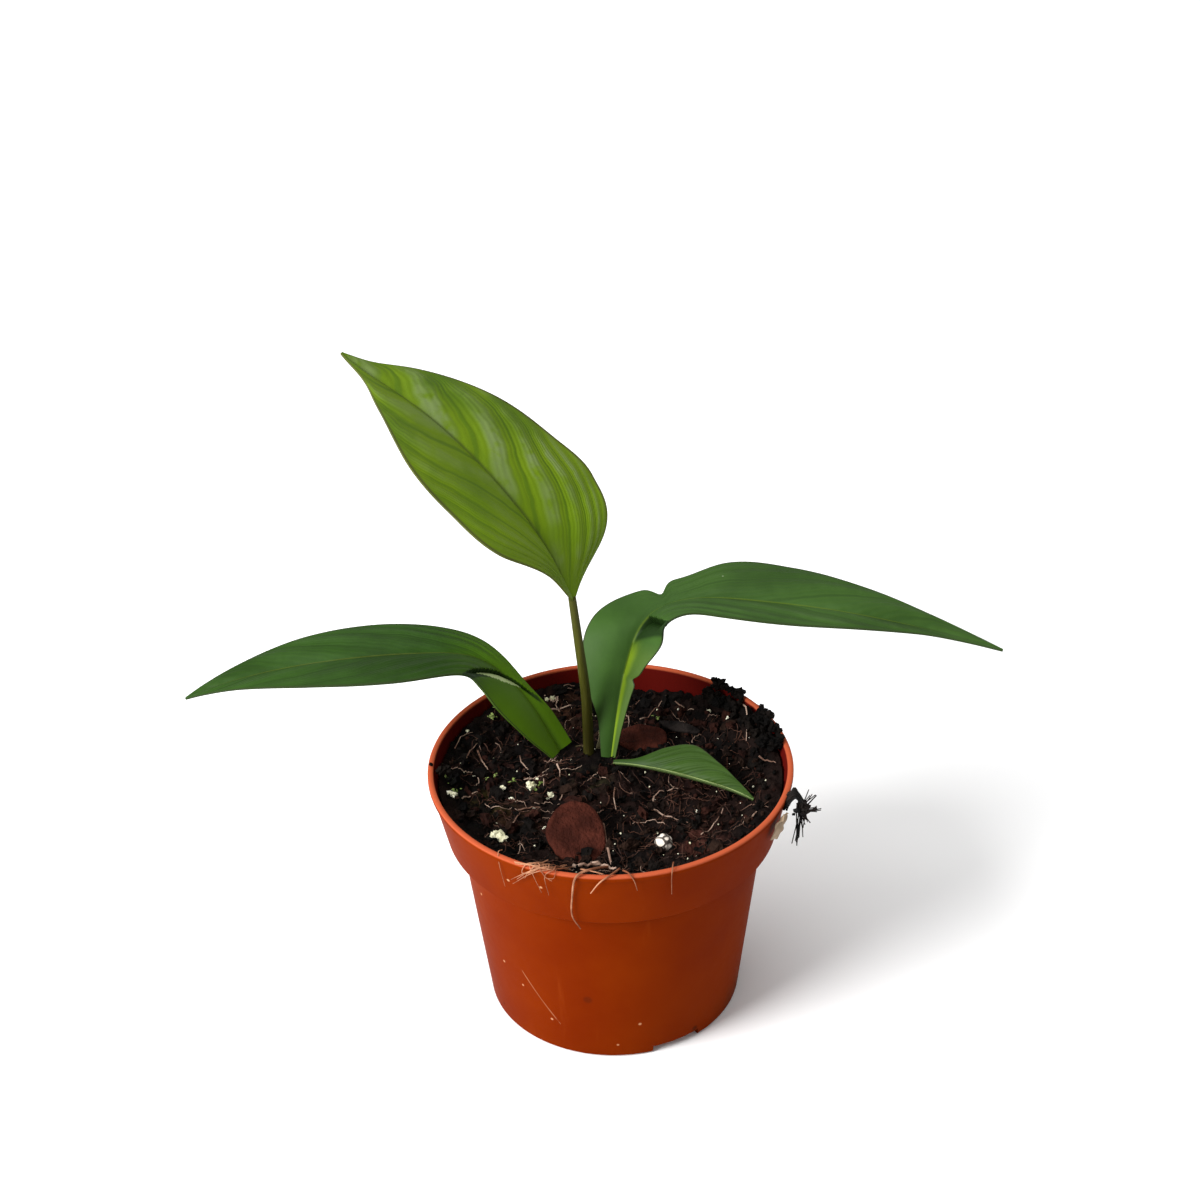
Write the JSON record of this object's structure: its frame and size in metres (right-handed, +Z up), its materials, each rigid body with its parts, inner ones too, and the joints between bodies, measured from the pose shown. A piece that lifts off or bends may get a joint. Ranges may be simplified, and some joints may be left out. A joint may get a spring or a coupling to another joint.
{
  "type": "potted homalomena",
  "caption": "Young homalomena in a small round terracotta-coloured nursery pot, an upright leaf and the others arching out over dark potting mix.",
  "frame": {"origin": "centre of the flat pad under the pot's floor, on the pot's axis", "axes": "+Z up the pot's axis, +X towards the side the long right leaf arches to, -Y to the front"},
  "size_m": [0.2044, 0.0925, 0.1608],
  "materials": {
    "pot": "satin",
    "mix": "matte",
    "rootstock": "matte",
    "stem": "satin",
    "leaf": "satin",
    "bark": "matte",
    "mineral": "matte",
    "root": "matte"
  },
  "bodies": {
    "root": {"pot": "pot", "potting_mix": "mix", "crown": "rootstock", "stem_tall": "stem", "cataphyll": "rootstock", "leaf_tall": "leaf", "leaf_left": "leaf", "leaf_right": "leaf", "leaf_small": "leaf", "bark_chip_front": "bark", "bark_chip_back": "bark", "clay_pellet": "mineral", "perlite_grain_1": "mineral", "perlite_grain_2": "mineral", "perlite_grain_3": "mineral", "root_strand_long": "root", "root_strand_tuft": "root", "fibre_strand_right": "root", "coir_flake": "bark"}
  },
  "joints": []
}
